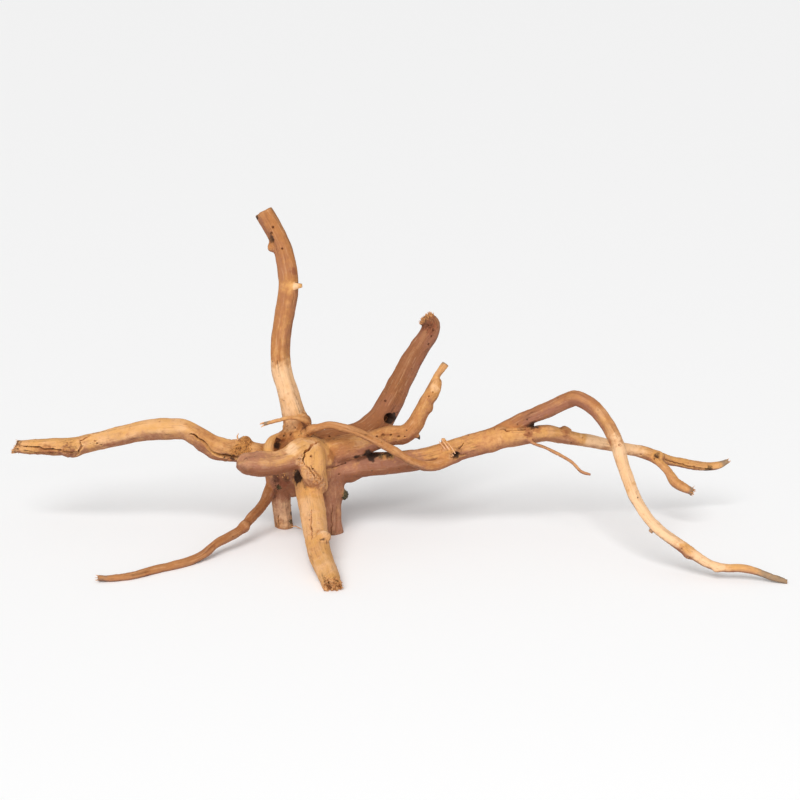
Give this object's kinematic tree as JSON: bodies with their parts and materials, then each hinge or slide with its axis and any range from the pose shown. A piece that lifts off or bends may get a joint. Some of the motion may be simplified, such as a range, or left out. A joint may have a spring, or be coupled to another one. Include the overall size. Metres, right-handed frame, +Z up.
{
  "type": "driftwood root",
  "caption": "Branching, water-worn root wood with a knotted crown, standing on two sawn feet and three root tips, for an aquarium or terrarium.",
  "frame": {"origin": "on the ground under the middle of the bounding box", "axes": "+X to the viewer's right along the long arm, +Y away from the viewer, +Z up"},
  "size_m": [0.5874, 0.2078, 0.2525],
  "materials": {
    "wood": "matt, water-worn, unbarked"
  },
  "bodies": {
    "root": {"driftwood_root": "wood"}
  },
  "joints": []
}
